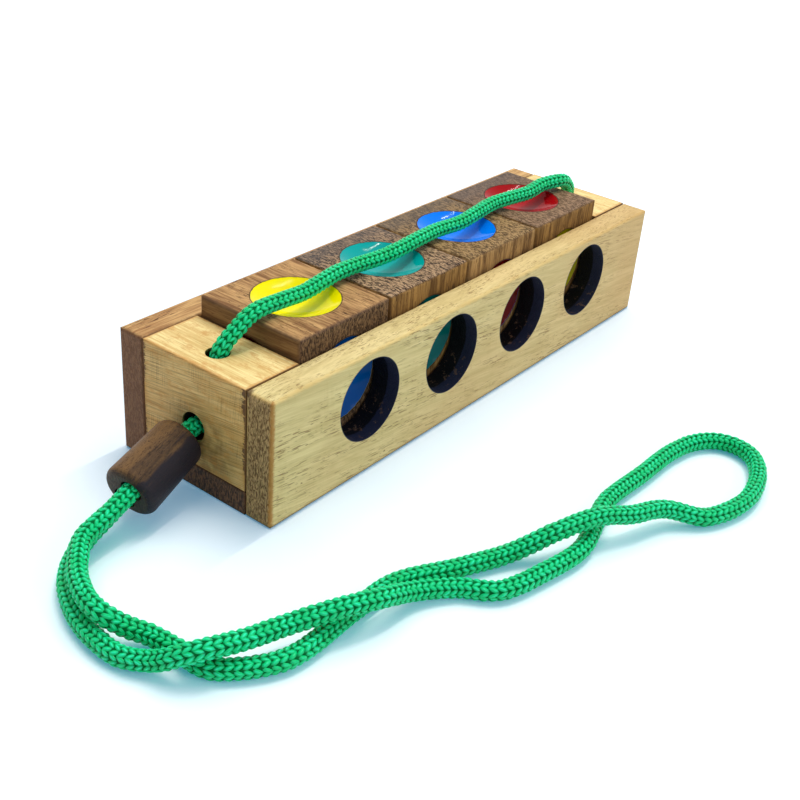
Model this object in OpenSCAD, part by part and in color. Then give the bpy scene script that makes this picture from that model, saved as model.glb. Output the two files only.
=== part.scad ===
/* [Cubes] */
// Side of each of the four cubes
cube_side = 30; // [24:0.5:38]
// Width of a painted dimple at the face
dimple_d = 20.5; // [14:0.5:22]
// Depth of a painted dimple
dimple_depth = 3; // [1:0.25:4]
// Gap left between neighbouring cubes, and at both ends of the row
row_gap = 0.4; // [0.2:0.1:1]
// Gap between the cubes and each side wall
side_gap = 0.5; // [0.3:0.1:1.5]

/* [Frame] */
// Thickness of the two side walls
wall_t = 7.5; // [5:0.5:10]
// Thickness of the base plate
base_t = 6; // [4:0.5:8]
// How far the cubes stand above the frame's top edge
cubes_proud = 5; // [3:0.5:7]
// Length of each end block
block_len = 16; // [14:0.5:20]
// Width of the peep holes
peep_d = 20; // [12:0.5:22]
// Wood left between the peep holes and the walls' top edge
peep_land = 2; // [1.5:0.5:4]
// Radius of the eased edges of cubes and walls
ease_r = 0.8; // [0.3:0.1:1.2]

/* [Cord] */
// Thickness of the cord where it lies slack
cord_d = 4.4; // [3.5:0.1:5.2]
// Thickness of the cord where it is pulled tight over the cubes
taut_d = 4; // [3.2:0.1:4.8]
// Width of the drilled cord channels in the end blocks
channel_d = 6.8; // [6:0.1:8]
// Width of the cord hole in each end block's top, which meets the channel
top_hole_d = 5.4; // [5:0.1:6.4]
// Height of the channel's mouth in the end face
channel_z = 15.6; // [12:0.1:18]

/* [Bead] */
// Length of the toggle bead
bead_len = 18; // [15:0.5:22]
// Least wood around the cord's bore at the bead's upper end
bead_wall = 1; // [0.8:0.1:2]
// How much wider the bead is at its lower end
bead_flare = 1; // [0:0.1:2]
// Steepness of the resting bead, in degrees
bead_tilt = 16.5; // [5:0.5:25]
// How far the resting bead is turned in plan, in degrees
bead_turn = 7.5; // [0:0.5:12]

/* [Hidden] */
$fn = 96;

cube_count = 4;
pitch = cube_side + row_gap;
well_len = cube_count * pitch + row_gap;
well_w = cube_side + 2 * side_gap;
frame_len = well_len + 2 * block_len;
frame_w = well_w + 2 * wall_t;
near_x = -frame_len / 2;
cube_top = base_t + cube_side;
frame_h = cube_top - cubes_proud;
row_end = well_len / 2 - row_gap;
peep_z = frame_h - peep_land - peep_d / 2;
// Radius of the eased edges where the base plate and the blocks meet the walls
seam_ease = 0.4;
// How far a cut runs on past the face that it goes through
past = 1;

// The channel in each end block comes down from the top and turns out through the end face
channel_in = 6.7;
channel_x = frame_len / 2 - channel_in;
channel_sump = 1;
// The top hole stands a little towards the side that the cord leaves it by
top_hole = [channel_x - 0.3, -0.3];
// At the far end the cord leans further back over the cubes and aside
far_lean = [-0.5, -0.8, -0.05];
function leaning(side, share) = share * (side > 0 ? far_lean : [0, 0, 0]);

// Clearance that a cord keeps from the wood it lies on
lie_gap = 0.3;
taut_z = cube_top + taut_d / 2 + lie_gap;
cord_sides = 10;

// How far the bead's upper end is aside from the middle of the end face
bead_aside = 1.5;
// Height of the bead's lowest rim above the table
bead_lift = 1.65;
bead_travel = 4;
// Straight cord that is kept below the bead for its travel
bead_run = bead_travel + 0.5;
bead_play = 0.8;
bead_round = 1.6;
strand_gap = 0.2;
strand_off = (cord_d + strand_gap) / 2;
// Where the running strand lies from the bead's middle: share aside and share up
strand_side = [-0.6, 0.8];
bore_d = cord_d + bead_play;
bead_neck_d = 2 * (strand_off + bore_d / 2 + bead_wall);
bead_d = bead_neck_d + bead_flare;
// The bead's upper end is this far out, so that its tilted rim stays clear of the end face
bead_out = 0.25 + bead_neck_d / 2 * sin(bead_tilt);
socket_depth = 10;
tucked_in = 4;

knot_len = 7.5;
// Where the knot's round side meets the end face, in degrees below its widest ring
knot_seat = 40;
// How far the knot's flat side reaches over the channel's rim
knot_lap = 0.43;
knot_d = (channel_d + 2 * knot_lap) / cos(knot_seat);
tail_len = 5;

function unit(v) = v / norm(v);
function rim(i, sides) = [cos(360 * i / sides), sin(360 * i / sides)];

// The bead's own directions: away from the block, level across, and upwards
bead_away = [-cos(bead_tilt) * cos(bead_turn), -cos(bead_tilt) * sin(bead_turn), -sin(bead_tilt)];
bead_across = [-sin(bead_turn), cos(bead_turn), 0];
bead_up = cross(-bead_away, bead_across);
strand_step = strand_off * (strand_side[0] * bead_across + strand_side[1] * bead_up);
bead_foot_z = bead_lift + bead_d / 2 * cos(bead_tilt);
bead_top = [near_x - bead_out, bead_aside, bead_foot_z + bead_len * sin(bead_tilt)];
bead_foot = bead_top + bead_len * bead_away;

// Points of the tight stretch: from the far mouth, over the row of cubes, to the near mouth
function channel_route(side) = [
    [side * (frame_len / 2), 0, channel_z],
    [side * (channel_x + 2.6), 0, channel_z],
    [side * (channel_x + 0.4), 0, channel_z + 2.2],
    [side * top_hole[0], top_hole[1] / 2, channel_z + 5.9],
    [side * top_hole[0], top_hole[1], frame_h - 4.2],
    [side * (top_hole[0] - 0.2), top_hole[1] - 0.25, frame_h],
    [side * (top_hole[0] - 1.4), top_hole[1] - 0.85, frame_h + 2.3] + leaning(side, 0.2),
    [side * (channel_x - 3.9), -1.7, (frame_h + cube_top) / 2 + 1.8] + leaning(side, 0.7),
    [side * (row_end + 2.8), -2.1, cube_top + 1.5] + leaning(side, 1),
    [side * (row_end - 0.5), -2.3, taut_z + 0.2] + leaning(side, 1)
];
// How the cord weaves over the cubes: places along the row in cubes, drift sideways, and sag
weave = [
    [1.74, -1.7, 0.2], [1.5, -1.9, -0.3], [1.25, -1.3, 0], [0.98, -0.7, 0.2], [0.7, -1.5, 0],
    [0.45, -2, -0.3], [0.14, -1.4, 0], [-0.13, -2, 0.2], [-0.38, -2.3, -0.1], [-0.62, -2, -0.3],
    [-0.88, -1.4, 0], [-1.1, -1.4, 0.2], [-1.3, -2, 0], [-1.5, -2.5, -0.3], [-1.74, -2.5, 0.1]
];
function backwards(list) = [for (i = [len(list) - 1 : -1 : 0]) list[i]];
// The cord leaves the near channel low down and a little aside: shares of its play there
mouth_play = (channel_d - cord_d) / 2;
mouth_lean = [5 / 12, 1 / 2];
near_mouth = [near_x, mouth_play * mouth_lean[0], channel_z - mouth_play * mouth_lean[1]];
span_route = concat(
    channel_route(1),
    [for (p = weave) [p[0] * pitch, p[1], taut_z + p[2]]],
    backwards([for (i = [1 : 9]) channel_route(-1)[i]]),
    [near_mouth]
);

// Points of the wrist loop: distance from the near end face, distance aside, height above lying flat
loop_lay = [
    [-33.5, -4.5, 4.3], [-38, -8.5, 4.2], [-42, -13.5, 4.3], [-44.8, -20, 4.3], [-45, -24.6, 3.9],
    [-43.2, -27.8, 2.1], [-40.5, -32.1, 0.6], [-39.5, -38, 0.1], [-39, -45, 0], [-34.5, -50, 0],
    [-27, -54, 0], [-8.5, -54, 0], [2.5, -54.5, 0], [14.5, -60.5, 0], [26, -66, 0.4],
    [35, -71.5, 4], [44.5, -75.5, 4.8], [53, -79.5, 2.9], [64, -82, 0], [68, -90.5, 0],
    [79.5, -94, 0], [91.5, -92, 0], [98.5, -87.5, 0], [100.5, -82, 0], [99, -77.5, 0],
    [94.5, -74, 0], [86.5, -72, 0], [73, -71.5, 0], [57.5, -71, 0], [48, -73.5, 0],
    [38.5, -76, 0], [26.5, -74.5, 0], [15, -71, 0], [9.5, -64, 0], [2, -59.5, 1.1],
    [-7.5, -58, 4.1], [-15.5, -55, 4.9], [-24.5, -50.5, 4], [-32.8, -47.9, 4.3], [-39.6, -45, 4.7],
    [-43, -41.8, 3.3], [-44.9, -37.9, 1.1], [-47.5, -31.5, 0], [-47.5, -25, 0], [-46, -18, 0],
    [-43.5, -12.5, 0], [-40.5, -8, 0], [-36, -4, 0], [-30.5, -1, 0.2]
];
loop_route = concat(
    [near_mouth, bead_top + strand_step, bead_foot + strand_step],
    [bead_foot + strand_step + bead_run * bead_away],
    [for (p = loop_lay) [near_x + p[0], p[1], cord_d / 2 + p[2]]],
    [bead_foot - strand_step + bead_run * bead_away, bead_foot - strand_step - tucked_in * bead_away]
);
cord_route = concat(span_route, [for (i = [1 : len(loop_route) - 1]) loop_route[i]]);

function heading(path, i) =
    i == 0 ? unit(path[1] - path[0]) :
    i == len(path) - 1 ? unit(path[i] - path[i - 1]) :
    unit(unit(path[i + 1] - path[i]) + unit(path[i] - path[i - 1]));
// Sideways directions carried along the path without twisting
function carried(path, i, side, out) =
    i == len(path) ? out :
    let (h = heading(path, i), s = unit(side - (side * h) * h))
    carried(path, i + 1, s, concat(out, [s]));

// A round tube along the points first to last of a path
module tube(path, first, last, d) {
    sides = carried(path, 0, [0.01, 1, 0.02], []);
    rings = last - first + 1;
    points = [for (i = [first : last], j = [0 : cord_sides - 1])
        let (a = rim(j, cord_sides), s = sides[i])
        path[i] + d / 2 * (a[0] * s + a[1] * cross(heading(path, i), s))];
    side_faces = [for (i = [0 : rings - 2], j = [0 : cord_sides - 1])
        let (k = (j + 1) % cord_sides, a = i * cord_sides, b = a + cord_sides)
        each [[a + j, b + j, a + k], [a + k, b + j, b + k]]];
    end_faces = [for (j = [1 : cord_sides - 2])
        let (b = (rings - 1) * cord_sides)
        each [[0, j, j + 1], [b, b + j + 1, b + j]]];
    polyhedron(points, concat(side_faces, end_faces));
}

// A rectangle with true round corners
module soft_rect(w, h, r) {
    square([w - 2 * r, h], center = true);
    square([w, h - 2 * r], center = true);
    for (x = [-1, 1], y = [-1, 1]) translate([x * (w / 2 - r), y * (h / 2 - r)]) circle(r);
}

// A board or block from corner low, with every edge eased
module eased(low, size, r = ease_r) {
    translate(low + size / 2) intersection() {
        translate([0, 0, -size[2] / 2]) linear_extrude(size[2]) soft_rect(size[0], size[1], r);
        rotate([90, 0, 0]) translate([0, 0, -size[1] / 2])
            linear_extrude(size[1]) soft_rect(size[0], size[2], r);
        rotate([0, 90, 0]) translate([0, 0, -size[0] / 2])
            linear_extrude(size[0]) soft_rect(size[2], size[1], r);
    }
}

function cube_x(i) = (i - (cube_count - 1) / 2) * pitch;

// One hole opposite the middle of each cube, through the wall that starts at y
module wall_peeps(y) {
    for (i = [0 : cube_count - 1])
        translate([cube_x(i), y - past, peep_z]) rotate([-90, 0, 0]) cylinder(wall_t + 2 * past, d = peep_d);
}

module base_plate() {
    color("#3a231a") difference() {
        eased([-frame_len / 2, -well_w / 2, 0], [frame_len, well_w, base_t], seam_ease);
        for (i = [0 : cube_count - 1])
            translate([cube_x(i), 0, -past]) cylinder(base_t + 2 * past, d = peep_d);
    }
}

module side_wall(y) {
    difference() {
        eased([-frame_len / 2, y, 0], [frame_len, wall_t, frame_h]);
        wall_peeps(y);
    }
}

module front_wall() {
    color("#d9b271") side_wall(-frame_w / 2);
}

module back_wall() {
    color("#5b3a2a") side_wall(well_w / 2);
}

// An end block with its cord channel; side is 1 for the far one
module end_block(side) {
    low = side > 0 ? frame_len / 2 - block_len : -frame_len / 2;
    difference() {
        eased([low, -well_w / 2, base_t], [block_len, well_w, frame_h - base_t], seam_ease);
        translate([side * top_hole[0], top_hole[1], channel_z - channel_d / 2 - channel_sump])
            cylinder(frame_h, d = top_hole_d);
        translate([side * channel_x, 0, channel_z]) rotate([0, side * 90, 0])
            cylinder(channel_in + past, d = channel_d);
    }
}

module near_end_block() {
    color("#cfa566") end_block(-1);
}

module far_end_block() {
    color("#cfa566") end_block(1);
}

// A cube with a round bowl cut into each of its six faces
module dimpled_cube(i) {
    bowl_r = (pow(dimple_d / 2, 2) + pow(dimple_depth, 2)) / (2 * dimple_depth);
    reach = cube_side / 2 - dimple_depth + bowl_r;
    translate([cube_x(i), 0, base_t + cube_side / 2]) difference() {
        eased(-[1, 1, 1] * cube_side / 2, [1, 1, 1] * cube_side);
        for (s = [-1, 1]) {
            translate([s * reach, 0, 0]) sphere(bowl_r);
            translate([0, s * reach, 0]) sphere(bowl_r);
            translate([0, 0, s * reach]) sphere(bowl_r);
        }
    }
}

module cube_1() {
    color("#7a5330") dimpled_cube(0);
}

module cube_2() {
    color("#5c4436") dimpled_cube(1);
}

module cube_3() {
    color("#715743") dimpled_cube(2);
}

module cube_4() {
    color("#6a5648") dimpled_cube(3);
}

module cord_span() {
    color("#1fae63") tube(cord_route, 0, len(span_route) - 1, taut_d);
}

module cord_loop() {
    color("#1fae63") tube(cord_route, len(span_route) - 1, len(cord_route) - 1, cord_d);
}

// The stopper knot pulled up against the far mouth, with the cord's cut end
module far_knot() {
    bulge = knot_len / 2;
    color("#1a9a57") translate([frame_len / 2, 0, channel_z]) rotate([0, 90, 0]) {
        rotate_extrude() polygon(concat(
            [[0, 0]],
            [for (a = [-knot_seat : 10 : 90])
                [knot_d / 2 * cos(a), bulge + bulge * sin(a) / (a < 0 ? sin(knot_seat) : 1)]]
        ));
        translate([0, 0, knot_len - 1]) cylinder(tail_len + 1, d = taut_d);
    }
}

// Outline of the bead's half section, from its upper end to its lower end, with rounded rims
function bead_outline() = concat(
    [[0, 0]],
    [for (a = [0 : 15 : 90])
        [bead_neck_d / 2 - bead_round + bead_round * sin(a), bead_round - bead_round * cos(a)]],
    [for (a = [0 : 15 : 90])
        [bead_d / 2 - bead_round + bead_round * cos(a), bead_len - bead_round + bead_round * sin(a)]],
    [[0, bead_len]]
);

// The bead lies with its own length along bead_away
module along_bead() {
    translate(bead_top) rotate([0, 0, bead_turn]) rotate([0, -90 - bead_tilt, 0]) children();
}

module toggle_bead() {
    // The running strand's place in the bead's own section
    place = strand_off * [strand_side[1], strand_side[0]];
    color("#4a3122") along_bead() difference() {
        rotate_extrude() polygon(bead_outline());
        translate([place[0], place[1], -past]) cylinder(bead_len + 2 * past, d = bore_d);
        translate([-place[0], -place[1], bead_len - socket_depth]) cylinder(socket_depth + past, d = bore_d);
    }
}

base_plate();
front_wall();
back_wall();
near_end_block();
far_end_block();
cube_1();
cube_2();
cube_3();
cube_4();
cord_span();
far_knot();
toggle_bead();
cord_loop();
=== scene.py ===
import math

import bpy
import numpy as np
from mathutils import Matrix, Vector


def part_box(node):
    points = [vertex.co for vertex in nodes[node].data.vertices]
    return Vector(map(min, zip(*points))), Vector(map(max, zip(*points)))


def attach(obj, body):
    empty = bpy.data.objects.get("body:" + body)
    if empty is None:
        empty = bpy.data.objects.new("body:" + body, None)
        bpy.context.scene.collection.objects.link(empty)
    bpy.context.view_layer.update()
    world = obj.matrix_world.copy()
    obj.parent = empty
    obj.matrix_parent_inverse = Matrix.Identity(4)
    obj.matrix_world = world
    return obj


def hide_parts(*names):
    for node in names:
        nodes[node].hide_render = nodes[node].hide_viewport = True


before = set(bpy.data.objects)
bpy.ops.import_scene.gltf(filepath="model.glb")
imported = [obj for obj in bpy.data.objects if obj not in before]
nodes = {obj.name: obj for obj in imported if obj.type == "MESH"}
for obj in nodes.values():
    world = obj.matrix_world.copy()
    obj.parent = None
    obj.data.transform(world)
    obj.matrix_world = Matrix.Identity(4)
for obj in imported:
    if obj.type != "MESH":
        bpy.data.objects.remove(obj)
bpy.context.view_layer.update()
mm = 0.001
print("frame loaded with", len(nodes), "nodes")

# camera, standing where the photograph was taken
view = {
    "eye": (-227.2, -163.36, 154.31),      # millimetres
    "turn": (59.472, -4.157, -51.463),     # degrees
    "lens": 54.326,
}
camera = bpy.data.objects.new("camera", bpy.data.cameras.new("camera"))
bpy.context.scene.collection.objects.link(camera)
camera.location = Vector(view["eye"]) * mm
camera.rotation_euler = [math.radians(a) for a in view["turn"]]
camera.data.lens = view["lens"]
camera.data.sensor_width = 36
camera.data.clip_start = 0.01
camera.data.clip_end = 20
bpy.context.scene.camera = camera
print("camera placed")


# colours are written as they look on screen, 0 to 255
def tint(r, g, b):
    return (*[((v / 255 + 0.055) / 1.055) ** 2.4 if v > 10 else v / 255 / 12.92 for v in (r, g, b)], 1)


# one node with its inputs and settings; an input may be a number, a colour or another node's socket
def put(tree, kind, inputs=None, **settings):
    node = tree.nodes.new(kind)
    for key, value in settings.items():
        setattr(node, key, value)
    for key, value in (inputs or {}).items():
        if isinstance(value, bpy.types.NodeSocket):
            tree.links.new(value, node.inputs[key])
        else:
            node.inputs[key].default_value = value
    return node


def useGroup(tree, group, inputs):         # a group placed in a tree, as its outputs
    return put(tree, "ShaderNodeGroup", inputs, node_tree=group).outputs


def math1(tree, operation, a, b=0.0):
    return put(tree, "ShaderNodeMath", {0: a, 1: b}, operation=operation).outputs[0]


def times(tree, first, *others):
    for other in others:
        first = math1(tree, "MULTIPLY", first, other)
    return first


def plus(tree, a, b):
    return math1(tree, "ADD", a, b)


def minus(tree, a, b):
    return math1(tree, "SUBTRACT", a, b)


def absolute(tree, a):
    return math1(tree, "ABSOLUTE", a)


def distance(tree, parts, point):          # from a point, in the directions that it names
    total = 0.0
    for part, value in zip(parts, point):
        gap = minus(tree, part, value)
        total = plus(tree, total, times(tree, gap, gap))
    return math1(tree, "SQRT", total)


def math3(tree, operation, a, b=(0, 0, 0)):
    node = put(tree, "ShaderNodeVectorMath", {0: a, 1: b}, operation=operation)
    return node.outputs["Value" if operation in ("LENGTH", "DOT_PRODUCT") else "Vector"]


def partsOf(tree, vector):
    return put(tree, "ShaderNodeSeparateXYZ", {0: vector}).outputs


def joined(tree, x, y, z):
    return put(tree, "ShaderNodeCombineXYZ", {0: x, 1: y, 2: z}).outputs[0]


def ownPlace(tree, what="Object"):
    return put(tree, "ShaderNodeTexCoord").outputs[what]


def ease(tree, value, low, high):          # 0 below low, 1 above high, smooth between
    node = put(tree, "ShaderNodeMapRange", {"Value": value, "From Min": low, "From Max": high},
               interpolation_type="SMOOTHSTEP")
    return node.outputs["Result"]


def mixed(tree, share, a, b, blend="MIX"):     # colour a, going over to b with the share
    node = put(tree, "ShaderNodeMix", {0: share, 6: a, 7: b}, data_type="RGBA", blend_type=blend)
    return node.outputs[2]


# the scale is one number, or one for each direction
def noise(tree, vector, scale, detail=2.0, rough=0.5, warp=0.0):
    if isinstance(scale, tuple):
        vector, scale = math3(tree, "MULTIPLY", vector, scale), 1.0
    node = put(tree, "ShaderNodeTexNoise",
               {"Vector": vector, "Scale": scale, "Detail": detail, "Roughness": rough, "Distortion": warp})
    return node.outputs["Fac"]


# an empty shader group with named sockets
def newGroup(name, inputs, outputs):
    group = bpy.data.node_groups.new(name, "ShaderNodeTree")
    for label, kind in inputs:
        group.interface.new_socket(label, in_out="INPUT", socket_type="NodeSocket" + kind)
    for label, kind in outputs:
        group.interface.new_socket(label, in_out="OUTPUT", socket_type="NodeSocket" + kind)
    return group, group.nodes.new("NodeGroupInput").outputs, group.nodes.new("NodeGroupOutput").inputs


def newMaterial(name, roughness, shine):
    material = bpy.data.materials.new(name)
    material.use_nodes = True
    shader = material.node_tree.nodes["Principled BSDF"]
    shader.inputs["Roughness"].default_value = roughness
    shader.inputs["Specular IOR Level"].default_value = shine
    return material, material.node_tree, shader


# lamps and background: one wide soft light overhead, a cool fill all round, a small tube for glints
studio = {
    "softLight": {"place": (0.75, 0.6, 2.8), "size": 3.0, "power": 70, "color": (1, 0.91, 0.82),
                  "shine": False},
    "window": {"place": (0.3, -2.6, 1.5), "size": 1.6, "power": 22, "color": (0.86, 0.95, 1)},
    "tube": {"place": (0.7, 0, 2), "size": 1.0, "width": 0.03, "power": 11, "color": (1, 0.98, 0.95)},
    "fill": (0.72, 0.9, 1.0),
    "fillLevel": 0.36,
    "floor": 0.95,
    "floorHalf": 4,                   # metres
    "glow": (0.02, 0.14, 0.25),       # a painted bluish glow on the paper, only where it is seen, that tints its shadows blue
    "fade": (0.5, 1.1),               # metres from the middle over which it goes over to plain white
}
plainWhite = (1, 1, 1, 1)


def hangLamp(name, look):
    light = bpy.data.lights.new(name, "AREA")
    light.shape = "RECTANGLE"
    light.size = look["size"]
    light.size_y = look.get("width", look["size"])
    light.energy = look["power"]
    light.color = look["color"]
    lamp = bpy.data.objects.new(name, light)
    lamp.location = look["place"]
    aim = Vector(look["place"]).to_track_quat("Z", "Y" if look["place"][1] else "X")
    lamp.rotation_euler = aim.to_euler()
    lamp.visible_glossy = look.get("shine", True)
    bpy.context.scene.collection.objects.link(lamp)


# 1 for what is seen straight, in a shine or through glass, 0 for light that falls on other things
def seenRays(tree):
    path = put(tree, "ShaderNodeLightPath").outputs
    shine = math1(tree, "MAXIMUM", path["Is Glossy Ray"], path["Is Transmission Ray"])
    return math1(tree, "MAXIMUM", path["Is Camera Ray"], shine)


def lightWorld():
    world = bpy.data.worlds.new("studio")
    bpy.context.scene.world = world
    world.use_nodes = True
    sky = world.node_tree
    fill = sky.nodes["Background"]
    fill.inputs["Color"].default_value = (*studio["fill"], 1)
    fill.inputs["Strength"].default_value = studio["fillLevel"]
    white = put(sky, "ShaderNodeBackground", {"Color": plainWhite, "Strength": 1.0})
    either = put(sky, "ShaderNodeMixShader", {0: seenRays(sky), 1: fill.outputs[0], 2: white.outputs[0]})
    sky.links.new(either.outputs[0], sky.nodes["World Output"].inputs["Surface"])


# white paper that keeps the shadows near the puzzle, tinted blue by a painted glow, and fades to plain white
# further out
def makePaper():
    material, tree, shader = newMaterial("white_paper", 0.9, 0.1)
    shader.inputs["Base Color"].default_value = (*[studio["floor"]] * 3, 1)
    # painted glow: bluish light the paper gives off towards the eye, which tints its shadows
    glow = put(tree, "ShaderNodeEmission", {"Color": (*studio["glow"], 1)}).outputs[0]
    lit = put(tree, "ShaderNodeAddShader", {0: shader.outputs[0], 1: glow}).outputs[0]
    gone = put(tree, "ShaderNodeEmission", {"Color": plainWhite}).outputs[0]
    far = ease(tree, math3(tree, "LENGTH", ownPlace(tree)), *studio["fade"])
    seen = put(tree, "ShaderNodeMixShader", {0: far, 1: lit, 2: gone}).outputs[0]
    either = put(tree, "ShaderNodeMixShader", {0: seenRays(tree), 1: shader.outputs[0], 2: seen})
    tree.links.new(either.outputs[0], tree.nodes["Material Output"].inputs["Surface"])
    return material


def layFloor():
    half = studio["floorHalf"]
    mesh = bpy.data.meshes.new("floor")
    mesh.from_pydata([(-half, -half, 0), (half, -half, 0), (half, half, 0), (-half, half, 0)], [],
                     [(0, 1, 2, 3)])
    mesh.materials.append(makePaper())
    floor = bpy.data.objects.new("floor", mesh)
    bpy.context.scene.collection.objects.link(floor)


hangLamp("soft_light", studio["softLight"])
hangLamp("window", studio["window"])
hangLamp("tube", studio["tube"])
lightWorld()
layFloor()
bpy.context.scene.view_settings.view_transform = "Standard"
print("floor and lamps set")

# the cord, a knitted tube of six ribs of V stitches, green throughout; lengths in millimetres
cord = {
    "slack": 4.4,             # width lying free
    "taut": 4.0,              # width pulled over the cubes
    "swell": (25, 8),         # how far before the near mouth it starts and ends widening
    "lying": 10,              # how far beyond the near mouth it is kept above the table
    "row": 1.6,               # from one row of stitches to the next
    "firstRow": 0.4,
    "ribs": 6,
    "reach": 1.3,             # how far a stitch's leg runs on, in rows
    "yarn": 0.96,             # width of a stitch's leg
    "yarnHeight": 0.7,
    # how far along a leg, and its width there against its full width
    "legShape": ((-0.1, 0), (0.1, 0.64), (0.36, 0.97), (0.64, 0.97), (0.9, 0.64), (1.1, 0)),
    "dip": 0.12,              # how far a leg's ends sink in
    "dive": 0.3,              # how much more its second end does
    "core": 0.86,             # inner tube against the width
    "coreStep": 1.0,
    "coreSides": 10,
    "rolls": ([0, 150, 200, 640], [0, 15, 20, 20]),   # how the ribs turn: distance along, degrees
    "uneven": 0.04,
    "seed": 5,
    # the yarn's colours: a painted highlight, its green, painted shade down the legs' sides and in their
    # dips, and darker greens of painted shade on the core
    "highlight": (40, 255, 196),
    "green": (0, 208, 124),
    "valleyShade": (0, 146, 78),
    "deep": (0, 116, 54),
    "hollowShade": (0, 84, 42),
}
# the bead at rest: the middle of its upper end, its slope and turn in degrees, how far the strands run
# straight on below it, how deep the last end sits in it, and half the way from strand to strand
beadPlace = {
    "top": (-78.926, 1.5, 12.899), "length": 18, "tilt": 16.5, "turn": 7.5,
    "run": 4.5, "tucked": 4, "strandAcross": -1.38, "strandUp": 1.84,
}
tilt, turn = math.radians(beadPlace["tilt"]), math.radians(beadPlace["turn"])
beadAway = np.array([-math.cos(tilt) * math.cos(turn), -math.cos(tilt) * math.sin(turn), -math.sin(tilt)])
beadAcross = np.array([-math.sin(turn), math.cos(turn), 0])
beadUp = np.cross(-beadAway, beadAcross)
beadTop = np.array(beadPlace["top"])
beadFoot = beadTop + beadPlace["length"] * beadAway
strandStep = beadPlace["strandAcross"] * beadAcross + beadPlace["strandUp"] * beadUp

# where the cord runs, in millimetres; first from an end face inwards, up through the block and on to the
# cubes, with the share by which the far one leans aside
mouthX, mouthZ = 77, 15.6
channel = ((mouthX, 0, mouthZ, 0), (72.9, 0, mouthZ, 0), (70.7, 0, 17.8, 0), (70, -0.15, 21.5, 0),
           (70, -0.3, 26.8, 0), (69.8, -0.55, 31, 0), (68.6, -1.15, 33.3, 0.2), (66.4, -1.7, 35.3, 0.7),
           (63.4, -2.1, 37.5, 1), (60.1, -2.3, 38.5, 1))
farLean = (-0.5, -0.8, -0.05)
nearMouth = (-mouthX, 0.5, 15)
# over the cubes: along in cubes from the middle, aside, and up or down from the usual height
weave = ((1.74, -1.7, 0.2), (1.5, -1.9, -0.3), (1.25, -1.3, 0), (0.98, -0.7, 0.2), (0.7, -1.5, 0),
         (0.45, -2, -0.3), (0.14, -1.4, 0), (-0.13, -2, 0.2), (-0.38, -2.3, -0.1), (-0.62, -2, -0.3),
         (-0.88, -1.4, 0), (-1.1, -1.4, 0.2), (-1.3, -2, 0), (-1.5, -2.5, -0.3), (-1.74, -2.5, 0.1))
cubePitch, weaveHeight = 30.4, 38.3
# the wrist loop: along from the near end face, aside, and up from where the cord lies on the table
loopLay = (
    (-33.5, -4.5, 4.3), (-38, -8.5, 4.2), (-42, -13.5, 4.3), (-44.8, -20, 4.3), (-45, -24.6, 3.9),
    (-43.2, -27.8, 2.1), (-40.5, -32.1, 0.6), (-39.5, -38, 0.1), (-39, -45, 0), (-34.5, -50, 0),
    (-27, -54, 0), (-8.5, -54, 0), (2.5, -54.5, 0), (14.5, -60.5, 0), (26, -66, 0.4), (35, -71.5, 4),
    (44.5, -75.5, 4.8), (52.4, -79.7, 3.4), (61, -83.2, 2.2), (68, -90.5, 0), (79.5, -94, 0),
    (91.5, -92, 0), (98.5, -87.5, 0), (100.5, -82, 0), (99, -77.5, 0), (94.5, -74, 0),
    (86.5, -72, 0), (73, -71.5, 0), (57.5, -71, 0), (48, -73.5, 0), (38.5, -76, 0),
    (26.5, -74.5, 0), (15, -71, 0), (9.5, -64, 0), (2, -59.5, 1.1), (-7.5, -58, 4.1),
    (-15.5, -55, 4.9), (-24.5, -50.5, 4), (-32.8, -47.9, 4.3), (-39.6, -45, 4.7), (-43, -41.8, 3.3),
    (-44.9, -37.9, 1.1), (-47.5, -31.5, 0), (-47.5, -25, 0), (-46, -18, 0), (-43.5, -12.5, 0),
    (-40.5, -8, 0), (-36, -4, 0), (-30.5, -1, 0.2),
)
# an overhand knot drawn up against the far end face, from inside the channel to the cut tail
knot = {
    "route": ((-3, 0, 0), (-0.2, -1.2, 0.6), (2.6, -1.3, -0.1), (4.7, -0.9, -1.8), (5.7, 1.5, -2.7),
              (5.5, 3.7, -1.1), (4.6, 3.6, 1.5), (3.8, 1.2, 2.6), (3.3, -1.6, 2.6), (2.5, -3.7, 1.1),
              (1.7, -3.5, -1.4), (1.6, -1, -2.7), (2.8, 1.1, -1.5), (5.1, 1.2, 0), (7.9, 1.2, 0.7),
              (12.3, 1.1, 0.9)),
    "widths": ([0, 0.06, 0.7, 0.9], [3.9, 3.1, 3.1, 3.8]),    # share of the way, width
    "spacing": 0.25,
}


def channelRoute(side):
    if side < 0:
        return [(-x, y, z) for x, y, z, lean in channel]
    return [tuple(v + lean * step for v, step in zip(spot, farLean)) for *spot, lean in channel]


def cordRoute():
    onCubes = [(a * cubePitch, b, weaveHeight + c) for a, b, c in weave]
    onTable = [(a - mouthX, b, c + cord["slack"] / 2) for a, b, c in loopLay]
    out, back = beadFoot + strandStep, beadFoot - strandStep
    return (channelRoute(1) + onCubes + channelRoute(-1)[:0:-1]
            + [nearMouth, beadTop + strandStep, out, out + beadPlace["run"] * beadAway] + onTable
            + [back + beadPlace["run"] * beadAway, back - beadPlace["tucked"] * beadAway])


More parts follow.
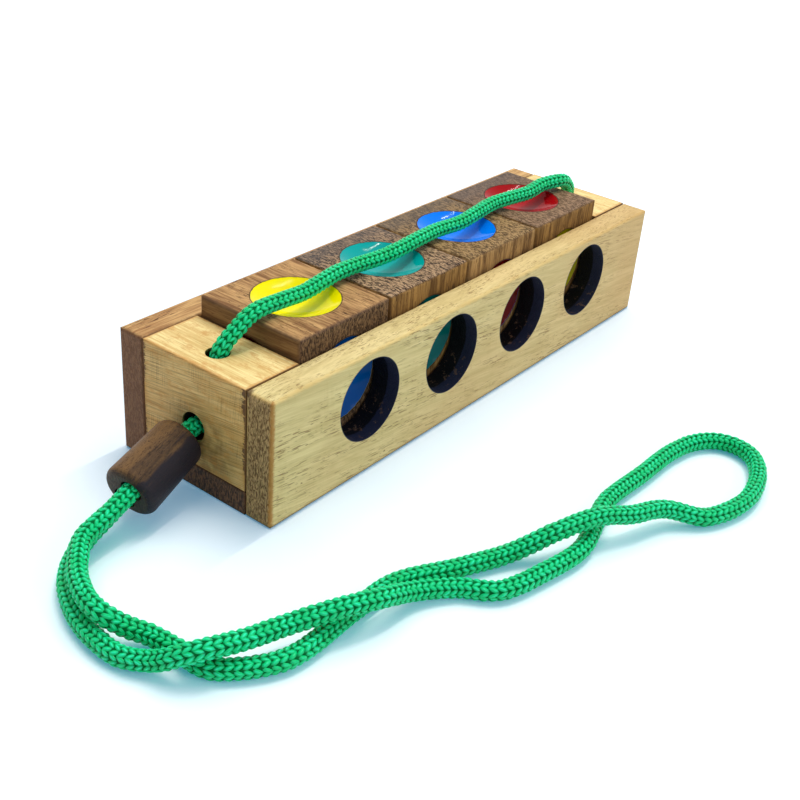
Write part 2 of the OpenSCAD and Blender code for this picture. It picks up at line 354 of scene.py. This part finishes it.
# a smooth line through points, with evenly spaced places along it
def smoothLine(points, spacing=0.5, steps=12):
    p = np.array([np.array(q, float) for q in points])
    p = np.vstack([2 * p[0] - p[1], p, 2 * p[-1] - p[-2]])
    line = []
    for a, b, c, d in zip(p[:-3], p[1:-2], p[2:-1], p[3:]):
        t1 = np.linalg.norm(b - a) ** 0.5
        t2 = t1 + np.linalg.norm(c - b) ** 0.5
        t3 = t2 + np.linalg.norm(d - c) ** 0.5
        t = np.linspace(t1, t2, steps + 1)[:-1, None]
        ab = a + (b - a) * t / t1
        bc = b + (c - b) * (t - t1) / (t2 - t1)
        cd = c + (d - c) * (t - t2) / (t3 - t2)
        abc = ab + (bc - ab) * t / t2
        bcd = bc + (cd - bc) * (t - t1) / (t3 - t1)
        line.append(abc + (bcd - abc) * (t - t1) / (t2 - t1))
    line = np.vstack(line + [p[-2:-1]])
    run = runAlong(line)
    even = np.linspace(0, run[-1], int(run[-1] / spacing) + 1)
    return np.stack([np.interp(even, run, line[:, k]) for k in range(3)], 1)


def runAlong(line):
    return np.concatenate([[0], np.cumsum(np.linalg.norm(np.diff(line, axis=0), axis=1))])


def unit(v):
    return v / np.linalg.norm(v, axis=-1, keepdims=True)


# two directions across a line, carried along it without twisting
def sidesOf(line):
    along = unit(np.gradient(line, axis=0))
    side = np.zeros_like(line)
    last = np.array([0.0, 1.0, 0.0])
    for i, ahead in enumerate(along):
        last = unit(last - np.dot(last, ahead) * ahead)
        side[i] = last
    return side, np.cross(along, side)


# turns a place along a line, an angle round it and a distance out of it into a point
def wrapRound(line):
    run = runAlong(line)
    side, up = sidesOf(line)

    def onCord(place, turn, out):
        place = np.clip(place, 0, run[-1])
        middle, s, u = [np.stack([np.interp(place, run, v[:, k]) for k in range(3)], -1)
                        for v in (line, side, up)]
        return middle + out[..., None] * (np.cos(turn)[..., None] * s + np.sin(turn)[..., None] * u)

    return onCord


# one leg of a stitch, a plump seed with six sides: where each point lies along, round and out of the
# cord, then how far along the leg it is, its angle round the leg and how much it faces outwards
def stitchLeg(hand):
    reach, spread = cord["row"] * cord["reach"], math.pi / cord["ribs"]
    middle = cord["slack"] / 2 - cord["yarnHeight"] / 2
    lean = math.atan2(middle * spread, reach)
    points = []
    for t, fat in cord["legShape"]:
        sink = cord["dip"] * (2 * t - 1) ** 2 + cord["dive"] * max(0, 2 * t - 1)
        for around in np.radians(np.arange(6) * 60 + 30) if fat else [0]:
            across = math.cos(around) * fat * cord["yarn"] / 2
            high = math.sin(around) * fat * cord["yarnHeight"] / 2
            points.append(((1 - t) * reach - across * math.sin(lean),
                           hand * (spread * (1 - t) + across * math.cos(lean) / middle),
                           middle - sink + high, t, around,
                           math.sin(around) if fat else 0))
    faces = [(0, 1 + k, 1 + (k + 1) % 6) for k in range(6)]
    for ring in (1, 7, 13):
        faces += [(ring + k, ring + 6 + k, ring + 6 + (k + 1) % 6, ring + (k + 1) % 6) for k in range(6)]
    faces += [(25, 19 + (k + 1) % 6, 19 + k) for k in range(6)]
    return np.array(points), [face if hand > 0 else face[::-1] for face in faces]


# the core under the stitches, a plain tube with closed ends; first is its first point's number
def coreTube(places, first):
    sides = cord["coreSides"]
    faces = []
    for i in range(len(places) - 1):
        for k in range(sides):
            a, b = first + i * sides + k, first + i * sides + (k + 1) % sides
            faces.append((a, b, b + sides, a + sides))
    last = first + (len(places) - 1) * sides
    faces.append(tuple(range(first, first + sides))[::-1])
    faces.append(tuple(range(last, last + sides)))
    place, turn = np.meshgrid(places, np.arange(sides) * 2 * math.pi / sides, indexing="ij")
    return place, turn, faces


# rows of V stitches round a core, along a stretch of a line
def knit(name, line, widths, rolls, start, stop):
    run, onCord = runAlong(line), wrapRound(line)
    chance = np.random.default_rng(cord["seed"])
    rows = np.arange(cord["firstRow"], run[-1] - cord["row"], cord["row"])
    rows = rows[(rows >= start) & (rows < stop)]
    share = np.interp(rows, run, widths)[:, None] / cord["slack"]
    spots, faces, turns = [], [], []
    for hand, rib in [(hand, rib) for hand in (-1, 1) for rib in range(cord["ribs"])]:
        shape, legFaces = stitchLeg(hand)
        slip = 1 + chance.normal(0, cord["uneven"], (len(rows), 1))
        place = rows[:, None] + shape[None, :, 0] * slip
        turn = np.interp(place, run, rolls) + 2 * math.pi * rib / cord["ribs"] + shape[None, :, 1] * slip
        spots.append(onCord(place, turn, shape[None, :, 2] * share * (0.75 + 0.25 * slip)).reshape(-1, 3))
        turns.append(np.tile(shape[:, 3:], (len(rows), 1)))
        starts = (len(spots) - 1) * len(spots[0]) + np.arange(len(rows)) * len(shape)
        faces += [tuple(start + v for v in face) for start in starts.tolist() for face in legFaces]
    legCount = len(faces)

    place, turn, tube = coreTube(np.arange(start, stop, cord["coreStep"]), sum(len(s) for s in spots))
    out = np.interp(place, run, widths) / 2 * cord["core"]
    spots.append(onCord(place, turn, out).reshape(-1, 3))
    turns.append(np.zeros((len(spots[-1]), 3)))
    faces += tube

    mesh = bpy.data.meshes.new(name)
    mesh.from_pydata((np.vstack(spots) * mm).tolist(), [], faces)
    mesh.shade_smooth()
    turns = np.vstack(turns).astype(np.float32)
    for k, label in enumerate(("yarnPlace", "yarnTurn", "yarnCrest")):
        mesh.attributes.new(label, "FLOAT", "POINT").data.foreach_set("value", turns[:, k])
    mesh.materials.append(greenYarn)
    mesh.materials.append(deepYarn)
    mesh.polygons.foreach_set("material_index", (np.arange(len(faces)) >= legCount).astype(np.int32))
    piece = bpy.data.objects.new(name, mesh)
    bpy.context.scene.collection.objects.link(piece)
    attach(piece, "frame")
    return piece


# yarn: a painted highlight as a bright streak along each leg's crest, painted shade in deeper green down its
# sides and towards its second end, where it dips in, with fine filaments laid along it
def makeYarn():
    material, tree, shader = newMaterial("green_yarn", 0.3, 0.22)
    along, turn, crest = [put(tree, "ShaderNodeAttribute", attribute_name=label).outputs["Fac"]
                          for label in ("yarnPlace", "yarnTurn", "yarnCrest")]
    spot = ownPlace(tree)
    patches = ease(tree, noise(tree, spot, 260, 2), 0.75, 0.25)
    filaments = plus(tree, times(tree, turn, 9.0), times(tree, noise(tree, spot, 1500), 5.0))
    # painted highlight along each crest; painted shade down the sides and towards the second end
    streak = times(tree, ease(tree, crest, 0.66, 1.0), patches, ease(tree, along, 0.05, 0.35))
    color = mixed(tree, ease(tree, crest, 0.6, -0.2), tint(*cord["green"]), tint(*cord["valleyShade"]))
    color = mixed(tree, streak, color, tint(*cord["highlight"]))
    color = mixed(tree, ease(tree, along, 0.55, 1.0), color, tint(*cord["deep"]))
    bump = put(tree, "ShaderNodeBump", {"Height": math1(tree, "SINE", filaments), "Strength": 0.35,
                                        "Distance": 0.00006})
    tree.links.new(color, shader.inputs["Base Color"])
    tree.links.new(bump.outputs[0], shader.inputs["Normal"])
    return material


# the core's dark greens are painted shade, standing for the shadow seen between the stitches
def makeDeepYarn():
    material, tree, shader = newMaterial("deep_yarn", 0.8, 0.1)
    shade = noise(tree, ownPlace(tree), 900, 2)
    tree.links.new(mixed(tree, shade, tint(*cord["deep"]), tint(*cord["hollowShade"])),
                   shader.inputs["Base Color"])
    return material


greenYarn = makeYarn()
deepYarn = makeDeepYarn()

cordLine = smoothLine(cordRoute())
cordRun = runAlong(cordLine)
cordEnd, loopStart = cordRun[-1], cordRun[np.argmin(np.linalg.norm(cordLine - nearMouth, axis=1))]
lying = cordRun > loopStart + cord["lying"]
cordLine[lying, 2] = np.maximum(cordLine[lying, 2], cord["slack"] / 2)
cordWidths = np.interp(cordRun, [loopStart - v for v in cord["swell"]], [cord["taut"], cord["slack"]])
cordRolls = np.radians(np.interp(cordRun, *cord["rolls"]))
knotLine = smoothLine([(mouthX + a, b, mouthZ + c) for a, b, c in knot["route"]], knot["spacing"])
knotRun = runAlong(knotLine)
knotWidths = np.interp(knotRun / knotRun[-1], *knot["widths"])

knittedSpan = knit("knitted_span", cordLine, cordWidths, cordRolls, 0, loopStart)
knittedLoop = knit("knitted_loop", cordLine, cordWidths, cordRolls, loopStart, cordEnd)
stopperKnot = knit("stopper_knot", knotLine, knotWidths, np.zeros(len(knotRun)), 0, knotRun[-1])
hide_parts("cord_span")
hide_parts("cord_loop")
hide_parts("far_knot")
print("cord knitted:", len(knittedSpan.data.polygons) + len(knittedLoop.data.polygons), "faces")


# wood grain as it runs through a solid piece; Place is in millimetres, its first part along the grain
def makeGrain():
    group, given, out = newGroup(
        "wood_grain",
        [("Place", "Vector"), ("Pores", "Float"), ("End", "Float"), ("Light", "Color"), ("Dark", "Color"),
         ("Pore", "Color"), ("End Dark", "Color"), ("Fleck", "Color")],
        [("Color", "Color"), ("Height", "Float")])
    spot = given["Place"]
    bands = noise(group, spot, (0.03, 0.33, 0.33), 3, 0.6, 1.2)
    fibres = noise(group, spot, (0.09, 2.2, 2.2), 4, 0.65)
    share = plus(group, times(group, bands, 0.55), times(group, fibres, 0.45))
    color = mixed(group, ease(group, share, 0.36, 0.64), given["Dark"], given["Light"])
    crowd = ease(group, noise(group, spot, (0.05, 0.25, 0.25), 2), 0.34, 0.62)
    dashes = ease(group, noise(group, spot, (0.3, 4.2, 4.2), 0.5), 0.62, 0.69)
    dots = ease(group, noise(group, spot, (0.7, 5.0, 5.0), 0), 0.7, 0.78)
    pores = times(group, math1(group, "MAXIMUM", dashes, dots), crowd, given["Pores"])
    color = mixed(group, pores, color, given["Pore"])
    flecks = ease(group, noise(group, spot, (0.1, 2.7, 0.9), 2, 0.5, 0.9), 0.4, 0.6)
    ends = mixed(group, flecks, given["End Dark"], given["Fleck"])
    group.links.new(mixed(group, given["End"], color, ends), out["Color"])
    height = minus(group, times(group, fibres, 0.6), pores)
    group.links.new(plus(group, height, times(group, flecks, given["End"])), out["Height"])
    return group


# how worn a box is towards its edges; Place is measured from its centre, Half is half its size
def makeEdgeWear():
    group, given, out = newGroup(
        "edge_wear", [("Place", "Vector"), ("Half", "Vector"), ("Reach", "Float")], [("Mask", "Float")])
    gap = math3(group, "SUBTRACT", given["Half"], math3(group, "ABSOLUTE", given["Place"]))
    a, b, c = partsOf(group, gap)
    lesser, greater = math1(group, "MINIMUM", a, b), math1(group, "MAXIMUM", a, b)
    second = math1(group, "MAXIMUM", lesser, math1(group, "MINIMUM", greater, c))
    ragged = times(group, minus(group, noise(group, given["Place"], 0.9, 3), 0.35), 1.1)
    near = math1(group, "DIVIDE", plus(group, second, ragged), given["Reach"])
    group.links.new(ease(group, near, 1.0, 0.25), out["Mask"])
    return group


# the peep holes, in millimetres, and the paint inside them
bore = {
    "height": 19, "radius": 10, "row": 60, "wallFace": 23.0,
    "outer": (38, 42, 64), "deep": (8, 8, 12), "outerDepth": 3.1, "scuff": (128, 98, 78),
}


# blue-black paint inside the peep holes, deeper in it is black and scuffed; Place is measured in the whole
# puzzle, Across from the middle of the row of holes, Depth from the outer face
def makeBorePaint():
    group, given, out = newGroup(
        "bore_paint", [("Color", "Color"), ("Place", "Vector"), ("Across", "Float"), ("Depth", "Float")],
        [("Color", "Color")])
    x, y, z = partsOf(group, given["Place"])
    fromHole = minus(group, math1(group, "FLOORED_MODULO", x, cubePitch), cubePitch / 2)
    away = distance(group, (fromHole, given["Across"]), (0, 0))
    within = math1(group, "LESS_THAN", absolute(group, x), bore["row"])
    inside = times(group, ease(group, away, bore["radius"] + 0.2, bore["radius"] + 0.1), within)
    rough = noise(group, math3(group, "SUBTRACT", given["Place"], (3, 7, 1)), 0.55, 4, 0.7)
    edge = plus(group, given["Depth"], times(group, rough, 0.8))
    deep = ease(group, edge, bore["outerDepth"] + 0.3, bore["outerDepth"] + 0.6)
    low = ease(group, z, bore["height"] - 3.0, bore["height"] - 7.0)
    paint = mixed(group, deep, tint(*bore["outer"]), tint(*bore["deep"]))
    paint = mixed(group, times(group, ease(group, rough, 0.55, 0.68), low, 0.8), paint, tint(*bore["scuff"]))
    group.links.new(mixed(group, inside, given["Color"], paint), out["Color"])
    return group


# fine slanting lines that a saw leaves, crossed by fainter upright ones
def makeSawMarks():
    group, given, out = newGroup(
        "saw_marks", [("Place", "Vector"), ("Spacing", "Float")], [("Mask", "Float")])
    x, y, z = partsOf(group, given["Place"])
    across = plus(group, x, y)
    masks = []
    for along, over, slant in ((across, z, 0.13), (z, across, 0.08)):
        over = math1(group, "DIVIDE", plus(group, over, times(group, along, slant)), given["Spacing"])
        spot = joined(group, times(group, along, 0.08), slant * 400, over)
        masks.append(ease(group, noise(group, spot, 1.0, 1), 0.42, 0.66))
    patches = ease(group, noise(group, given["Place"], 0.12, 2), 0.4, 0.6)
    lines = plus(group, times(group, masks[0], 0.7), times(group, masks[1], patches, 0.45))
    group.links.new(lines, out["Mask"])
    return group


woodGrain = makeGrain()
edgeWear = makeEdgeWear()
borePaint = makeBorePaint()
sawMarks = makeSawMarks()

grainShift = (37.0, 11.0, 23.0)            # millimetres through the grain from one piece's wood to the next
grainBump = {"Strength": 0.6, "Distance": 0.00012}
# which parts of a place run along the grain, aside from it and across the bands
grainOrder = {"x": (0, 1, 2), "y": (1, 0, 2), "z": (2, 0, 1)}


# a place in millimetres, from a centre
def placeFrom(tree, centre):
    spot = put(tree, "ShaderNodeVectorMath", {0: ownPlace(tree), "Scale": 1 / mm}, operation="SCALE")
    return math3(tree, "SUBTRACT", spot.outputs[0], tuple(centre))


# a wood with its grain along x, y or z; a piece that lies askew gives its own three directions. What
# follows may be painted over its colour
def startWood(name, node, grain, look, askew=None):
    material, tree, shader = newMaterial(name, look["roughness"], look["shine"])
    low, high = [np.array(corner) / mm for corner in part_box(node)]
    local, half = placeFrom(tree, (low + high) / 2), tuple((high - low) / 2)
    normal = ownPlace(tree, "Normal")
    parts, faces = partsOf(tree, local), partsOf(tree, normal)
    if askew is not None:
        parts = [math3(tree, "DOT_PRODUCT", local, tuple(way)) for way in askew]
        faces = [math3(tree, "DOT_PRODUCT", normal, tuple(way)) for way in askew]
    order = grainOrder[grain]
    run, aside, rise = [parts[k] for k in order]
    grainPlace = joined(tree, run, aside, plus(tree, rise, times(tree, run, look["slant"])))
    grainPlace = math3(tree, "ADD", grainPlace, tuple(look["from"] * step for step in grainShift))
    grained = useGroup(tree, woodGrain, {
        "Place": grainPlace, "Pores": look["pores"],
        "End": ease(tree, absolute(tree, faces[order[0]]), 0.5, 0.9),
        "Light": tint(*look["light"]), "Dark": tint(*look["dark"]), "Pore": tint(*look["pore"]),
        "End Dark": tint(*look["endDark"]), "Fleck": tint(*look["fleck"])})
    worn = useGroup(tree, edgeWear, {"Place": local, "Half": half, "Reach": look["wear"]})["Mask"]
    work = {"material": material, "tree": tree, "shader": shader, "node": node, "local": local,
            "half": half, "parts": parts, "faces": faces, "normal": normal, "grainPlace": grainPlace,
            "color": grained["Color"], "height": grained["Height"]}
    paintOver(work, times(tree, worn, look["wearShare"]), look["edge"])
    return work


def paintOver(work, share, color):
    work["color"] = mixed(work["tree"], share, work["color"], tint(*color))


def finishWood(work):
    tree, shader = work["tree"], work["shader"]
    bump = put(tree, "ShaderNodeBump", {"Height": work["height"], **grainBump})
    tree.links.new(work["color"], shader.inputs["Base Color"])
    tree.links.new(bump.outputs[0], shader.inputs["Normal"])
    materials = nodes[work["node"]].data.materials
    materials.clear()
    materials.append(work["material"])


def facing(tree, part):                    # 1 on the faces that look along that part of the normal
    return ease(tree, part, 0.6, 0.85)


def paintBores(work, side):                # side: the way a wall's outer face looks, 0 for the base
    tree = work["tree"]
    spot = placeFrom(tree, (0, 0, 0))
    y, z = partsOf(tree, spot)[1:]
    across, depth = y, z
    if side:
        across = minus(tree, z, bore["height"])
        depth = minus(tree, bore["wallFace"], times(tree, y, side))
    work["color"] = useGroup(tree, borePaint, {
        "Color": work["color"], "Place": spot, "Across": across, "Depth": depth})["Color"]


# pale olive-yellow front wall, end grain at its near end; the other woods start from this one
frontLook = {
    "from": 1, "slant": 0.12, "pores": 0.8, "wear": 1.2, "wearShare": 0.4,
    "roughness": 0.55, "shine": 0.15,
    "light": (234, 214, 156), "dark": (208, 188, 130), "pore": (134, 102, 62), "edge": (238, 196, 116),
    "endDark": (112, 84, 52), "fleck": (194, 158, 108),
    "sawn": (190, 160, 96), "warm": (200, 148, 92), "corner": (170, 114, 52), "foot": (176, 144, 88),
    # line: the painted contact shadow along the wall's foot
    "line": (104, 82, 56), "knob": (86, 62, 46),
}


def finishFrontWall():
    look = frontLook
    work = startWood("pale_wall_wood", "front_wall", "x", look)
    tree, local, (x, y, z), half = work["tree"], work["local"], work["parts"], work["half"]
    marks = useGroup(tree, sawMarks, {"Place": local, "Spacing": 0.7})["Mask"]
    onFace = facing(tree, absolute(tree, work["faces"][1]))
    paintOver(work, times(tree, marks, onFace, 0.2), look["sawn"])
    warm = times(tree, ease(tree, noise(tree, local, 0.02, 3), 0.42, 0.68), 0.24)
    far = times(tree, ease(tree, x, -60.0, half[0]), 0.24)
    paintOver(work, plus(tree, warm, far), look["warm"])
    wander = times(tree, noise(tree, local, 1.3, 4, 0.7), 1.4)
    fromCorner = math1(tree, "MAXIMUM", plus(tree, x, half[0]), plus(tree, y, half[1]))
    corner = ease(tree, plus(tree, fromCorner, wander), 1.8, 1.0)
    paintOver(work, times(tree, corner, 0.8), look["corner"])
    # darker towards the foot; the thin dark line along the very bottom is a painted contact shadow where the
    # wall meets the table
    fromFoot = plus(tree, z, half[2])
    foot = ease(tree, plus(tree, fromFoot, wander), 2.2, 0.8)
    paintOver(work, times(tree, foot, 0.6), look["foot"])
    paintOver(work, times(tree, ease(tree, fromFoot, 0.95, 0.5), 0.8), look["line"])
    knob = ease(tree, distance(tree, (x, y, z), (-half[0], half[1], half[2])), 1.9, 1.1)
    paintOver(work, times(tree, knob, 0.8), look["knob"])
    paintBores(work, -1)
    finishWood(work)


# end blocks: grain across, sawn end faces torn at the seams, darker beside the cord's mouth with grime and
# painted shade
blockLook = dict(
    frontLook, pores=0.3, slant=0.03, wear=1.3, wearShare=0.7,
    light=(252, 230, 166), dark=(222, 186, 120), pore=(150, 112, 60), endDark=(150, 110, 66),
    fleck=(206, 170, 116), edge=(206, 146, 76), face=(224, 170, 98), saw=(112, 72, 30),
    grimeAndShade=(110, 86, 36), torn=(88, 60, 42), seam=(60, 42, 28), hollowShade=(44, 32, 20))
# the cord's two openings: radius, and the middle from the block's own, outwards counted as plus
blockMouth = {"radius": 3.4, "aside": 0, "up": -2.9}
blockTopHole = {"radius": 2.7, "out": 1, "aside": -0.3}


def finishEndBlock(node, shift, side):
    look = dict(blockLook, **{"from": shift})
    work = startWood(node + "_wood", node, "y", look)
    tree, local, (x, y, z), half = work["tree"], work["local"], work["parts"], work["half"]
    onEnd = facing(tree, absolute(tree, work["faces"][0]))
    marks = times(tree, useGroup(tree, sawMarks, {"Place": local, "Spacing": 0.24})["Mask"], onEnd)
    paintOver(work, times(tree, onEnd, 0.5), look["face"])
    paintOver(work, times(tree, marks, 0.62), look["saw"])
    # darker beside and below the cord's mouth: grime, together with painted shade where the bead shades the
    # face
    grimeAndShade = ease(tree, distance(tree, (y, z), (-4, -6)), 13.0, 3.0)
    grimeAndShade = times(tree, grimeAndShade, ease(tree, noise(tree, local, 0.25, 3), 0.3, 0.6), onEnd, 0.6)
    paintOver(work, grimeAndShade, look["grimeAndShade"])
    blots = ease(tree, noise(tree, local, (0.5, 0.225, 0.5), 5, 0.8), 0.48, 0.66)
    paintOver(work, times(tree, blots, 0.6), look["edge"])
    teeth = minus(tree, noise(tree, local, (0.5, 0.5, 1.9), 4, 0.75), 0.4)
    depth = times(tree, teeth, ease(tree, noise(tree, local, 0.1, 1), 0.3, 0.7), 7.0)
    inwards = minus(tree, half[1], absolute(tree, y))
    torn = ease(tree, minus(tree, inwards, depth), 0.3, 0.05)
    paintOver(work, times(tree, torn, onEnd, 0.9), look["torn"])
    seam = times(tree, ease(tree, inwards, 0.32, 0.12), minus(tree, 1.0, onEnd), 0.8)
    paintOver(work, seam, look["seam"])
    openings = [
        (distance(tree, (y, z), (blockMouth["aside"], blockMouth["up"])), blockMouth["radius"],
         times(tree, x, side), half[0]),
        (distance(tree, (x, y), (side * blockTopHole["out"], blockTopHole["aside"])), blockTopHole["radius"],
         z, half[2])]
    inMouth, inHole = [times(tree, ease(tree, away, radius + 0.12, radius + 0.04),
                             ease(tree, outwards, face - 0.1, face - 0.7))
                       for away, radius, outwards, face in openings]
    # the insides of the mouth and the top hole are painted dark: painted shade in the openings
    paintOver(work, math1(tree, "MAXIMUM", inMouth, inHole), look["hollowShade"])
    work["height"] = minus(tree, work["height"], times(tree, marks, 0.8))
    finishWood(work)


# back wall: red-brown, darker on every face but its golden brown top
backLook = dict(
    frontLook, **{"from": 3}, slant=0.02, pores=1.0, wear=1.0, wearShare=0.6,
    light=(224, 182, 124), dark=(164, 118, 74), pore=(88, 58, 38), endDark=(122, 90, 68),
    fleck=(150, 118, 92), edge=(92, 66, 50), darkSide=(228, 202, 180))


def finishBackWall():
    work = startWood("red_brown_wall_wood", "back_wall", "x", backLook)
    tree = work["tree"]
    # every face but the top is multiplied darker
    below = minus(tree, 1.0, facing(tree, work["faces"][2]))
    work["color"] = mixed(tree, times(tree, below, 0.8), work["color"], tint(*backLook["darkSide"]), "MULTIPLY")
    paintBores(work, 1)
    finishWood(work)


# base plate: very dark, seen only at the near end and through the holes
baseLook = dict(
    frontLook, **{"from": 5}, slant=0.02, light=(120, 84, 58), dark=(76, 52, 38), pore=(40, 26, 20),
    endDark=(62, 42, 34), fleck=(126, 90, 64), edge=(80, 56, 42))


def finishBase():
    work = startWood("dark_base_wood", "base_plate", "x", baseLook)
    paintBores(work, 0)
    finishWood(work)


finishFrontWall()
finishEndBlock("near_end_block", 2, -1)
finishEndBlock("far_end_block", 7, 1)
finishBackWall()
finishBase()
print("frame finished")

# cubes: four woods, each cube with six painted bowls, named by the faces they are in
paints = {
    "yellow": (255, 236, 0),
    "teal": (0, 168, 166),
    "blue": (0, 130, 255),
    "red": (172, 10, 20),
}
bowl = {
    "faces": ("Top", "Front", "Back", "Bottom", "Near", "Far"),
    "radius": 10.25, "sideShade": 0.64, "rim": (58, 38, 26), "roughness": 0.09,
    "outside": (11.6, 11.8),               # how far from the cube's middle the bowls begin
}
brownLook = dict(
    frontLook, **{"from": 11}, slant=0.04, pores=0.9, wear=1.1, wearShare=0.55, shine=0.08,
    light=(206, 162, 110), dark=(126, 88, 56), pore=(66, 42, 28), endDark=(66, 48, 36),
    fleck=(138, 106, 76), edge=(96, 72, 60), shade=(84, 58, 38), nearShade=0.55,
    grey=(84, 82, 84), backGrey=0.0)
streakLook = dict(
    brownLook, wear=0.7, wearShare=0.6, light=(176, 132, 76), dark=(96, 66, 36), endDark=(54, 41, 36),
    fleck=(186, 152, 118), edge=(72, 52, 40), nearShade=0.0, backGrey=0.5)
cubes = {
    "cube_1": {"grain": "y", "look": brownLook,
               "bowls": ("yellow", "blue", "teal", "red", "red", "teal")},
    "cube_2": {"grain": "z", "look": dict(streakLook, **{"from": 13}),
               "bowls": ("teal", "teal", "yellow", "red", "blue", "yellow")},
    "cube_3": {"grain": "z",
               "look": dict(streakLook, **{"from": 17}, light=(190, 148, 96), dark=(112, 80, 50),
                            endDark=(82, 62, 40), fleck=(176, 142, 98)),
               "bowls": ("blue", "red", "teal", "yellow", "red", "teal")},
    "cube_4": {"grain": "z",
               "look": dict(streakLook, **{"from": 19}, endDark=(90, 68, 52), fleck=(162, 130, 102)),
               "bowls": ("red", "yellow", "blue", "teal", "yellow", "blue")},
}


# which bowl of a cube a place is in: the paint's colour and share, and the dark line round its rim
def makeBowls():
    group, given, out = newGroup(
        "painted_bowls", [("Place", "Vector")] + [(face, "Color") for face in bowl["faces"]],
        [("Color", "Color"), ("Paint", "Float"), ("Rim", "Float")])
    x, y, z = partsOf(group, given["Place"])
    wobble = times(group, minus(group, noise(group, given["Place"], 0.8, 3), 0.5), 0.35)
    color, paint, rim = given["Top"], 0.0, 0.0
    for along, a, b, ahead, behind in ((z, x, y, "Top", "Bottom"), (y, x, z, "Back", "Front"),
                                       (x, y, z, "Far", "Near")):
        away = plus(group, distance(group, (a, b), (0, 0)), wobble)
        outer = ease(group, absolute(group, along), *bowl["outside"])
        gap = minus(group, away, bowl["radius"])
        here = times(group, ease(group, gap, 0.0, -0.15), outer)
        line = times(group, ease(group, absolute(group, gap), 0.3, 0.1), outer)
        sign = math1(group, "GREATER_THAN", along, 0.0)
        color = mixed(group, here, color, mixed(group, sign, given[behind], given[ahead]))
        paint = math1(group, "MAXIMUM", paint, here)
        rim = math1(group, "MAXIMUM", rim, line)
    group.links.new(color, out["Color"])
    group.links.new(paint, out["Paint"])
    group.links.new(rim, out["Rim"])
    return group


paintedBowls = makeBowls()


def bowlColors(names):                     # the bowls in the sides lie in shade and are darker
    levels = [1 if face == "Top" else bowl["sideShade"] for face in bowl["faces"]]
    return {face: tint(*[v * level for v in paints[name]])
            for face, level, name in zip(bowl["faces"], levels, names)}


def finishCube(node, cube):
    look = cube["look"]
    work = startWood(node + "_wood", node, cube["grain"], look)
    tree, shader, local = work["tree"], work["shader"], work["local"]
    bowls = useGroup(tree, paintedBowls, {"Place": local, **bowlColors(cube["bowls"])})
    onNear = facing(tree, times(tree, work["faces"][0], -1.0))
    paintOver(work, times(tree, onNear, look["nearShade"]), look["shade"])
    drift = plus(tree, work["parts"][1], times(tree, noise(tree, local, 0.15, 3), 8.0))
    towardsBack = times(tree, facing(tree, work["faces"][2]), ease(tree, drift, 6.0, 17.0))
    paintOver(work, times(tree, towardsBack, look["backGrey"]), look["grey"])
    paintOver(work, times(tree, bowls["Rim"], 0.8), bowl["rim"])
    work["color"] = mixed(tree, bowls["Paint"], work["color"], bowls["Color"])
    work["height"] = times(tree, work["height"], minus(tree, 1.0, bowls["Paint"]))
    smoother = times(tree, bowls["Paint"], look["roughness"] - bowl["roughness"])
    tree.links.new(minus(tree, look["roughness"], smoother), shader.inputs["Roughness"])
    finishWood(work)


for node, cube in cubes.items():
    finishCube(node, cube)
print("cubes finished")

# the bead: grain along its axis, a golden painted highlight along its lit top, blue-black painted shade low
# on its right side
beadLook = dict(
    frontLook, **{"from": 23}, slant=0.0, pores=1.0, wearShare=0.0, roughness=0.5,
    light=(104, 78, 52), dark=(68, 50, 36), pore=(34, 26, 22), endDark=(56, 42, 34), fleck=(78, 60, 46),
    edge=(100, 76, 56), streak=(150, 112, 68), darkSide=(30, 29, 40), pit=(40, 30, 26))


def finishBead():
    look = beadLook
    work = startWood("bead_wood", "toggle_bead", "x", look, (beadAway, beadAcross, beadUp))
    tree, normal = work["tree"], work["normal"]
    ragged = noise(tree, work["grainPlace"], (0.12, 0.8, 0.8), 3)
    # golden painted highlight where its top faces the light
    top = math3(tree, "DOT_PRODUCT", normal, tuple(0.35 * beadAcross + 0.93 * beadUp))
    gold = ease(tree, plus(tree, top, times(tree, ragged, 0.5)), 0.95, 1.3)
    paintOver(work, times(tree, gold, 0.5), look["streak"])
    pits = noise(tree, work["grainPlace"], (1.4, 3.2, 3.2), 4, 0.75)
    paintOver(work, times(tree, ease(tree, pits, 0.5, 0.64), 0.8), look["pit"])
    # blue-black painted shade on the side turned away from the light
    low = math3(tree, "DOT_PRODUCT", normal, tuple(0.2 * beadAway - 0.92 * beadAcross - 0.3 * beadUp))
    darkSide = ease(tree, plus(tree, low, times(tree, ragged, 0.8)), 0.62, 0.95)
    paintOver(work, times(tree, darkSide, 0.9), look["darkSide"])
    work["height"] = minus(tree, work["height"], pits)
    finishWood(work)


finishBead()
print("bead finished")
